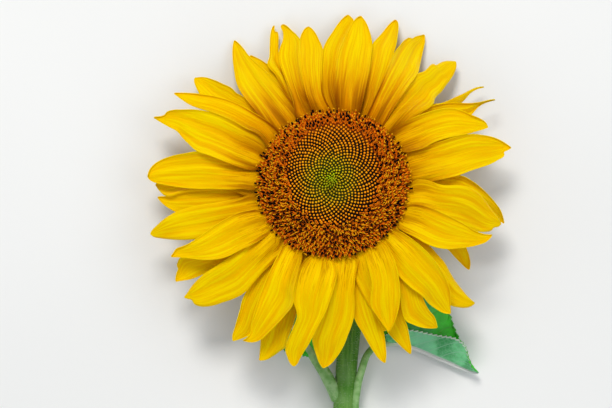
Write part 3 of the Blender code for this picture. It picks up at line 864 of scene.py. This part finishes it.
petal, wire = new_finish("satin yellow petal", 0.42, Subsurface_Weight=0.25, Subsurface_Scale=1.0)
wire.show(Subsurface_Radius=Vector((0.0020, 0.0012, 0.0002)))
wire.show(Specular_IOR_Level=0.26, Specular_Tint=(1.0, 0.74, 0.02))
along, across = wire.laid()
tone, pleat, painted_foot_shade = (wire.own(name) for name in ("tone", "pleat", "painted_foot_shade"))
streak_at = {0: along * 2.2, 1: across * 15.0 + tone * 40.0, 2: tone * 9.0}
streak = wire.noise(wire.node("CombineXYZ", {}, streak_at), 1.0, 4.0)
fine_at = {0: along * 5.0, 1: across * 60.0 + tone * 30.0, 2: tone * 5.0}
fine = wire.noise(wire.node("CombineXYZ", {}, fine_at), 1.0, 3.0)
edge = abs(across * 2 - 1)
reach = along + (streak - 0.5) * 0.45 + (fine - 0.5) * 0.12
# the foot's orange is partly its own and partly painted shade, deeper on the petals above the disc,
# where the painted shade in its pleats and on its margins also reaches further out
foot = painted_foot_shade.blend((1.0, 0.56, 0.0), (0.68, 0.215, 0.0))
crease_shade = 1 - reach.between(0.0, 0.20 + painted_foot_shade * 0.16)
margin_shade = 1 - reach.between(0.0, 0.22 + painted_foot_shade * 0.20)
paint = streak.between(0.36, 0.66).blend((0.84, 0.475, 0.0), (0.93, 0.650, 0.0))
for share, tint in (
    # painted shade in the pleats' hollows, fine streaks, each petal's own tone, and a painted
    # highlight along the margin
    ((0.10 - pleat).between(0.0, 0.90) * 0.36, (0.86, 0.385, 0.0)),
    (fine.between(0.52, 0.70) * 0.10, (0.74, 0.31, 0.0)),
    (((tone - 0.5) * 0.50).most(0.0), (0.86, 0.45, 0.0)),
    (edge.between(0.90, 1.0) * 0.45, (0.98, 0.70, 0.0)),
    # the foot, whose own orange is deepened by painted shade, painted shade in the crease of each
    # pleat, thin dark lines that fan out, and painted shade on its margins between the petals
    ((1 - reach.between(0.04, 0.40 + painted_foot_shade * 0.16)) * (0.74 + painted_foot_shade * 0.20), foot),
    (crease_shade * (0.25 - pleat).between(0.0, 0.7) * (0.36 + painted_foot_shade * 0.62), (0.26, 0.070, 0.0)),
    (
        (1 - abs(streak - 0.5).between(0.006, 0.040)) * (1 - along.between(0.06, 0.40)) * 0.60,
        (0.40, 0.120, 0.0),
    ),
    (edge.between(0.55, 1.0) * margin_shade * (0.30 + painted_foot_shade * 0.60), (0.24, 0.060, 0.0)),
):
    paint = share.blend(paint, tint)
wire.show(Base_Color=paint)
wire.show(Roughness=0.40 + streak * 0.20)
wire.relief(streak * 0.5 + fine * 0.5, 0.45, 0.0003)

for row, name in enumerate(RAY_PIECES):
    own_row = [number for number, floret in enumerate(RAY_FLORETS) if floret[0] == row]
    blades = joined(name, [ray_floret(number, RAY_FLORETS[number]) for number in own_row])
    thickened(blades, RAY_THICKNESS)
    blades.data.materials.append(petal)
    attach(blades, "root")
    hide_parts("ray_florets")

# Disc
# The dark middle of the bloom: over a thousand tiny florets in spirals on a domed bed. Closed
# buds like beads fill the middle, green at the heart. Open florets stand round them in a ring.
DISC_RADIUS = 0.0413
DISC_TOP = 0.0085
DISC_EDGE = -0.0004
BED_RADIUS = 0.0408
BED_DROP = 0.0010
BUD_CENTRE = (0.0005, 0.0045)
BUD_RADII = (0.0247, 0.02825)
SPIRAL_RADIUS = 0.0405
SPIRAL_OFFSET = (-0.0009, 0.0006)
FLORET_COUNT = 1640
FLORET_POWER = 0.555
FLORET_WIDTH = 0.00185
FLORET_LENGTH = 0.0020
GOLDEN_TURN = math.pi * (3 - math.sqrt(5))


def disc_height(radius):
    return DISC_TOP + (DISC_EDGE - DISC_TOP) * (radius / DISC_RADIUS) ** 2.6


def bed_place(along, turn):
    radius = np.where(along < 0.8, along / 0.8 * BED_RADIUS, BED_RADIUS - (along - 0.8) * 0.005)
    height = disc_height(np.minimum(along / 0.8, 1) * BED_RADIUS) - BED_DROP
    height = np.where(along > 0.8, height - (along - 0.8) * 0.024, height)
    radius = np.where(along > 0.999, 0, radius)
    return round_points(radius, turn, height - 0.0012 * np.exp(-((radius / 0.004) ** 2)))


bed = rolled("disc_bed", 60, 96, bed_place)
bed_finish, wire = new_finish("dark floret bed", 0.9, Specular_IOR_Level=0.1)
spot = wire.spot()
from_heart = {0: spot, 1: HEAD @ Vector((*SPIRAL_OFFSET, DISC_TOP))}
heart = wire.node("VectorMath", {"operation": "DISTANCE"}, from_heart, output=1)
mould = wire.noise(spot, 700.0, 3.0)
dark, olive, fuzz = (
    mould.between(0.4, 0.7).blend(low, high)
    for low, high in (
        ((0.006, 0.002, 0.001), (0.032, 0.009, 0.002)),
        ((0.020, 0.026, 0.002), (0.060, 0.070, 0.004)),
        ((0.080, 0.016, 0.001), (0.340, 0.078, 0.003)),
    )
)
ground = (heart / 0.020).between(0.45, 1.0).blend(olive, dark)
wire.show(Base_Color=(heart / 0.030).between(0.92, 1.02).blend(ground, fuzz))
wire.relief(mould, 0.7, 0.0005)
bed.data.materials.append(bed_finish)
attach(bed, "root")
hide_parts("disc_florets", "disc_buds")

chance = random.Random(9)
bud_spots = []
open_spots = []
for number in range(FLORET_COUNT):
    order = number + 0.7
    radius = SPIRAL_RADIUS * (order / FLORET_COUNT) ** FLORET_POWER
    spacing = math.sqrt(1.1547 * math.tau * FLORET_POWER * radius**2 / order)
    turn = number * GOLDEN_TURN
    shift = 1 - (radius / SPIRAL_RADIUS) ** 2
    x = radius * math.cos(turn) + SPIRAL_OFFSET[0] * shift + chance.gauss(0, 0.045) * spacing
    y = radius * math.sin(turn) + SPIRAL_OFFSET[1] * shift + chance.gauss(0, 0.045) * spacing
    zone = math.hypot((x - BUD_CENTRE[0]) / BUD_RADII[0], (y - BUD_CENTRE[1]) / BUD_RADII[1])
    spot_list = bud_spots if zone + chance.gauss(0, 0.018) < 1 else open_spots
    spot_list.append((x, y, spacing, zone))


def disc_frame(x, y, sink, lean, width, length, spin):
    """Where one floret stands: on the dome, leaning outwards by lean as a slope."""
    radius = math.hypot(x, y)
    place = HEAD @ Vector((x, y, disc_height(radius) - sink))
    slope = (disc_height(radius + 0.0005) - disc_height(max(radius - 0.0005, 0))) / 0.001
    outward = Vector((x, y, 0)) / max(radius, 0.0001)
    direction = HEAD.to_3x3() @ (Vector((0, 0, 1)) + outward * (lean - slope))
    return frame_at(place, direction, width, length, spin)


bead = fresh(bpy.ops.mesh.primitive_uv_sphere_add, segments=8, ring_count=6, radius=1)
set_values(bead.data, "height", [vertex.co.z for vertex in bead.data.vertices])
for vertex in bead.data.vertices:
    if vertex.co.z > 0:
        vertex.co.z *= 1.15
frames = []
shades = {"tone": [], "zone": [], "dim": []}
for x, y, spacing, _ in bud_spots:
    across, up = x - SPIRAL_OFFSET[0], y - SPIRAL_OFFSET[1]
    from_heart = math.hypot(across, up)
    inward = max(0, 1 - from_heart / 0.011)
    width = spacing * (0.338 - 0.03 * inward) * chance.uniform(0.84, 1.12)
    length = spacing * (0.55 + 0.50 * inward)
    lean = -1.2 * inward + chance.gauss(0, 0.05)
    frames.append(disc_frame(x, y, 0.0004, lean, width, length, chance.uniform(0, 6.28)))
    shades["tone"].append(chance.random())
    # those just above the heart are greener, and those just below it are darker
    greener_above = 0.10 * max(up, 0) / max(from_heart, 0.001) * max(0, 1 - from_heart / 0.016)
    shades["zone"].append(min(max(from_heart / 0.026 - greener_above, 0), 1.2))
    shades["dim"].append(math.exp(-((math.hypot(across - 0.0008, up + 0.0036) / 0.0050) ** 2)))
buds = planted("disc_buds_closed", bead, frames, shades)

bud, wire = new_finish("floret bud", 0.5, Specular_IOR_Level=0.18, Specular_Tint=(1.0, 0.72, 0.30))
height, tone, zone, dim = (wire.own(name) for name in ("height", "tone", "zone", "dim"))
ripe = (zone / 1.1 + (tone - 0.5) * 0.20).ramp(
    (0.00, (0.50, 0.66, 0.004)),
    (0.15, (0.66, 0.54, 0.005)),
    (0.38, (0.82, 0.48, 0.006)),
    (0.62, (1.00, 0.41, 0.005)),
    (0.86, (1.00, 0.33, 0.004)),
)
# the dark foot of each bud is painted shade between the buds
foot = (zone / 1.1).ramp(
    (0.00, (0.045, 0.055, 0.002)),
    (0.35, (0.035, 0.022, 0.002)),
    (1.00, (0.008, 0.002, 0.001)),
)
share = height.between(-0.10, 0.52) * (1.0 - dim * 0.45)
wire.show(Base_Color=share.blend(foot, ripe))
buds.data.materials.append(bud)
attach(buds, "root")
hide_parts("disc_buds")


def floret_finish(name, dull, bright, low, high):
    """A finish that goes from dull to bright by each floret's own tone and by height."""
    material, wire = new_finish(name, 0.7, Specular_IOR_Level=0.05)
    share = wire.own("tone").between(low, high) * 0.7 + wire.own("height").between(0.55, 1.0) * 0.5
    wire.show(Base_Color=share.blend(dull, bright))
    return material


corolla, anther, stigma = (
    floret_finish(f"floret {name}", dull, bright, low, high)
    for name, dull, bright, low, high in (
        ("corolla", (0.60, 0.100, 0.001), (1.0, 0.265, 0.003), 0.0, 1.0),
        ("anther", (0.004, 0.001, 0.001), (0.80, 0.170, 0.002), 0.42, 0.56),
        ("stigma", (1.0, 0.38, 0.003), (1.0, 0.55, 0.009), 0.0, 0.6),
    )
)


def arm_place(way):
    """Places on one arm of a stigma, which curls to a side."""

    def spine(share):
        turn = share * 2.3
        x = way * 0.30 * (1 - math.cos(turn))
        return (x, 0.02 + 0.16 * way * share, 1.5 + 0.24 * math.sin(turn))

    def place(along, turn):
        centre = np.array([spine(share) for share in along])
        ahead = np.array([spine(share + 0.01) for share in along])
        tangent = unit(ahead - centre)
        side = unit(np.cross(tangent, [0.0, 1.0, 0.02]))
        up = np.cross(side, tangent)
        width = np.array([0.120 * (1 - share**6) for share in along])[:, None]
        return centre + (side * np.cos(turn)[:, None] + up * np.sin(turn)[:, None]) * width

    return place


def floret_model(name, arms, tube_radius):
    """One open floret, a unit wide: a lobed cup, a tube of anthers, and a curled arm for each way
    in arms.
    """
    cup = cone(8, 0.22, 0.34, 1.1, 0.35)
    rim = [v for v in cup.data.vertices if v.co.z > 0.8 and v.co.xy.length > 0.1]
    rim.sort(key=lambda v: math.atan2(v.co.y, v.co.x))
    for number, vertex in enumerate(rim):
        if number % 2:
            vertex.co.x *= 1.45
            vertex.co.y *= 1.45
            vertex.co.z += 0.10
        else:
            vertex.co.z -= 0.18
    for vertex in cup.data.vertices:
        if vertex.co.z > 0.8 and vertex.co.xy.length < 0.1:
            vertex.co.z = 0.55
    set_values(cup.data, "height", [vertex.co.z for vertex in cup.data.vertices])
    tube = cone(5, tube_radius, tube_radius, 0.9, 1.05)
    for vertex in tube.data.vertices:
        if vertex.co.z > 1.5 and vertex.co.xy.length < 0.05:
            vertex.co.z += 0.12
    pieces = [cup, tube, *(rolled(f"{name}_arm", 5, 3, arm_place(way)) for way in arms)]
    for piece, finish in zip(pieces, (corolla, anther, stigma, stigma)):
        piece.data.materials.append(finish)
    return joined(name, pieces)


# pollen has turned the inner ones orange; further out some tubes are still dark, and the rest
# have put out their two golden arms
FLORET_KINDS = {"young": ((), 0.22), "dark": ((), 0.30), "golden": ((1, -1), 0.20)}
kinds = {kind: [] for kind in FLORET_KINDS}
crowd = []
for x, y, spacing, zone in open_spots:
    crowd.append((x, y, spacing, zone, 1.0))
    if chance.random() > 0.45:
        continue
    turn = chance.uniform(0, math.tau)
    aside = spacing * 0.52
    second = (x + aside * math.cos(turn), y + aside * math.sin(turn))
    if math.hypot(*second) < 0.0409:
        crowd.append((*second, spacing, zone, 0.86))
for x, y, spacing, zone, scale in crowd:
    radius = math.hypot(x, y)
    outer = min(max((zone - 1.02) / 0.22, 0), 1)
    x += chance.gauss(0, 0.10) * spacing
    y += chance.gauss(0, 0.10) * spacing
    lean = 0.20 + 0.80 * max(0, (radius - 0.030) / 0.011) ** 2 + chance.gauss(0, 0.22)
    width = FLORET_WIDTH * scale * chance.uniform(0.88, 1.14)
    length = FLORET_LENGTH * scale * chance.uniform(0.78, 1.18)
    draw = chance.random()
    spin = math.pi / 2 + chance.gauss(0, 0.50)
    # the inner band's north side gets more dark florets, as painted shade on that side
    north = max(y / radius, 0)
    if draw < 0.07 + 0.20 * outer + 0.35 * north * (1 - outer):
        kind, tones, length = "dark", (0.0, 0.42), length * 1.2
    elif draw < 0.44 + 0.48 * outer:
        kind, tones = "golden", (0.40, 1.0)
    else:
        kind, tones = "young", (0.30, 0.95)
    place = disc_frame(x, y, 0.0006, lean, width, length, spin)
    kinds[kind].append((place, chance.uniform(*tones)))
parts = []
for kind, (arms, tube_radius) in FLORET_KINDS.items():
    model = floret_model(f"{kind}_floret", arms, tube_radius)
    places, tones = zip(*kinds[kind])
    parts.append(planted(f"{kind}_florets", model, places, {"tone": tones}))
florets = joined("disc_florets_open", parts)
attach(florets, "root")
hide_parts("disc_florets")

# Leaves
# Two small stem leaves on thin stalks: rough toothed blades, green above and pale beneath. The
# right one is folded along its midrib, so that half of it shows its pale underside.
# stalk and midrib as places; the margins from stalk to tip as seen from above, in tenths of a
# millimetre, first the green half and then the half that is folded over it, with how high
# each half rises
LEAVES = {
    "leaf_right": {
        "stalk": (
            (0.0085, -0.1480, 0.0100), (0.0118, -0.1330, 0.0110), (0.0130, -0.1180, 0.0118),
            (0.0160, -0.1045, 0.0128), (0.0214, -0.0925, 0.0120),
        ),
        "midrib": (
            (0.0290, -0.0870, 0.0085), (0.0420, -0.0890, 0.0065), (0.0600, -0.0965, 0.0045),
            (0.0720, -0.1015, 0.0050), (0.0800, -0.1038, 0.0060),
        ),
        "margins": (
            (270, -780, 300, -690, 380, -625, 480, -610, 570, -630,
             648, -715, 670, -780, 700, -846, 736, -910, 760, -980),
            (295, -820, 340, -798, 427, -796, 526, -815, 600, -829,
             655, -836, 703, -857, 736, -898, 749, -949, 764, -1000),
        ),
        "rises": (0.0008, 0.0082),
        "stalk_radius": 0.0024,
        "rib_shift": (0.0001, -0.0006),
        "rib_widths": (0.80, 0.54, 0.42, 0.36, 0.26),
    },
    "leaf_left": {
        "stalk": (
            (0.0040, -0.1215, 0.0095), (-0.0005, -0.1120, 0.0118), (-0.0055, -0.1030, 0.0122),
        ),
        "midrib": (
            (-0.0105, -0.0950, 0.0105), (-0.0180, -0.0830, 0.0090),
            (-0.0300, -0.0720, 0.0070), (-0.0460, -0.0620, 0.0045),
        ),
        "margins": (
            (-110, -956, -160, -952, -220, -938, -290, -910, -360, -840, -415, -740),
            (-85, -880, -95, -780, -140, -680, -220, -605, -320, -575, -400, -585),
        ),
        "rises": (0.0016, 0.0024),
        "stalk_radius": 0.0034,
        "rib_shift": (0.0, 0.0),
        "rib_widths": (0.80, 0.52, 0.36, 0.26),
    },
}
LEAF_THICKNESS = 0.0005
LEAF_TEETH = 26
LEAF_TOOTH_DEPTH = 0.0010
LEAF_VEINS = 7


def leaf_place(leaf):
    midrib = [Vector(point) for point in leaf["midrib"]]
    rib = line_through(midrib, 16)
    lines = [
        line_through([midrib[0], *seen_places(seen), midrib[-1]], 8) for seen in leaf["margins"]
    ]

    def spread(line, share):
        return on_line(share, length_shares(line[:, :2]), line)

    # how far each margin goes in at its teeth, which point towards the tip
    shares = np.linspace(0, 1, 20 * LEAF_TEETH + 1)
    depth = LEAF_TOOTH_DEPTH * (1 - (shares * LEAF_TEETH) % 1) ** 1.2
    bites = []
    for line in lines:
        run = unit(np.gradient(spread(line, shares)[:, :2], axis=0))
        inward = np.stack([-run[:, 1], run[:, 0]], -1)
        inward *= np.sign((inward * (spread(rib, shares) - spread(line, shares))[:, :2]).sum())
        bites.append(inward * (depth * clamp((1 - shares) * 8))[:, None])

    def place(along, across):
        across = across * 2 - 1
        out = np.abs(across)
        middle = spread(rib, along)
        margin = np.where((across > 0)[:, None], *(spread(line, along) for line in lines))
        flat = middle[:, :2] * (1 - out)[:, None] + margin[:, :2] * out[:, None]
        for half, bite in zip((across > 0, across <= 0), bites):
            flat += on_line(along, shares, bite) * (half * clamp((out - 0.80) / 0.20))[:, None]
        # both halves leave the midrib in a round fold, and the upper one stands off the lower
        rise = np.where(across > 0, leaf["rises"][0] * out, leaf["rises"][1] * out**0.55)
        rise = rise * clamp(along / 0.10) * clamp((1 - along) / 0.10) ** 0.6
        # the blade dips along each side vein and swells between them
        vein = (along - 0.30 * out**1.2) * LEAF_VEINS
        quilt = 0.0005 * (np.abs(np.sin(vein * math.pi)) ** 0.7 - 0.5) * clamp(out * 5)
        rise = rise + quilt * (1 - out**3) * clamp((1 - along) * 4)
        rise = rise + 0.0006 * np.sin(along * 15 + across * 2) * out
        return from_view(flat, middle[:, 2] + rise)

    return place


def rib_knots(leaf):
    """The stalk and the midrib under the blade, as places and radii."""
    radius = leaf["stalk_radius"]
    knots = [(on_flower(p), radius * (1.15 - 0.09 * i)) for i, p in enumerate(leaf["stalk"])]
    for place, width in zip(leaf["midrib"], leaf["rib_widths"]):
        nearness = (VIEW_OFFSET.z + HEAD_CENTRE.z - place[2]) / VIEW_OFFSET.z
        seen = Vector(place[:2]) + Vector(leaf["rib_shift"]) - VIEW_OFFSET.xy
        seen = VIEW_OFFSET.xy + seen * nearness
        knots.append((on_flower((*seen, place[2])), radius * width))
    return knots


def leaf_face(name, colours, roughness, vein_rise):
    """The finish of one side of a leaf, with its net of veins."""
    low, high, far, vein_colour, rib_colour, edge_colour = colours
    material, wire = new_finish(name, roughness)
    along, across = wire.laid()
    across = abs(across * 2 - 1)
    spot = wire.spot()
    patch = wire.noise(spot, 140.0, 4.0)
    cells = {"Vector": spot, "Scale": 520.0}
    cells = wire.node("TexVoronoi", {"feature": "DISTANCE_TO_EDGE"}, cells)
    side_vein = abs((((along - 0.30 * across**1.2) * LEAF_VEINS) * math.pi).sine())
    veins = (1 - side_vein.between(0.03, 0.22)) * 0.8
    veins = veins.most((1 - cells.between(0.0, 0.10)) * 0.35)
    rib = 1 - across.between(0.03, 0.10)
    face = patch.between(0.35, 0.68).blend(low, high)
    # sheen is a painted reflection of the sky across a band of the blade
    sheen = along.between(0.24, 0.34) * (1 - along.between(0.42, 0.54))
    face = veins.blend((sheen * 0.75).blend(face, far), vein_colour)
    face = (across.between(0.88, 0.98) * 0.9).blend(rib.blend(face, rib_colour), edge_colour)
    wire.show(Base_Color=face)
    wire.relief(veins.most(rib) * vein_rise + patch * 0.3, 0.5, 0.0004)
    return material


# two greens, the painted sheen of the sky, the veins, the midrib and the margin
UPPER_COLOURS = (
    (0.022, 0.500, 0.008),
    (0.045, 0.680, 0.016),
    (0.090, 0.440, 0.190),
    (0.070, 0.480, 0.040),
    (0.130, 0.480, 0.080),
    (0.060, 0.440, 0.030),
)
LOWER_COLOURS = (
    (0.040, 0.330, 0.092),
    (0.180, 0.660, 0.285),
    (0.180, 0.580, 0.310),
    (0.270, 0.570, 0.360),
    (0.640, 0.680, 0.640),
    (0.620, 0.690, 0.620),
)
upper = leaf_face("leaf upper side", UPPER_COLOURS, 0.42, -0.6)
lower = leaf_face("leaf underside", LOWER_COLOURS, 0.65, 0.8)
stalk_green, wire = new_finish("leaf stalk green", 0.5)
along, _ = wire.laid()
patch = wire.noise(wire.spot(), 260.0, 4.0)
green = patch.between(0.35, 0.70).blend((0.130, 0.340, 0.060), (0.300, 0.500, 0.200))
green = along.between(0.50, 0.66).blend(green, (0.66, 0.67, 0.64))
wire.show(Base_Color=green)
wire.relief(patch, 0.4, 0.0003)


def stalk_relief(along, turn):
    return clamp(np.minimum(along, 1 - along) / 0.03) ** 0.5 * (1 + 0.05 * np.cos(3 * turn))


for name, leaf in LEAVES.items():
    blade = sheet(f"{name}_blade", 182, 36, leaf_place(leaf))
    blade.data.materials.append(upper)
    blade.data.materials.append(lower)
    thickened(blade, LEAF_THICKNESS, material_offset=1)
    stalk = rod(f"{name}_stalk", 80, 16, rib_knots(leaf), 16, stalk_relief)
    stalk.data.materials.append(stalk_green)
    stalk_hairs = hairs_on(f"{name}_hairs", stalk, 260, 0.0010, 31)
    stalk_hairs.data.materials.append(down)
    whole = joined(f"{name}_whole", [blade, stalk, stalk_hairs])
    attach(whole, "root")
    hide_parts(name)
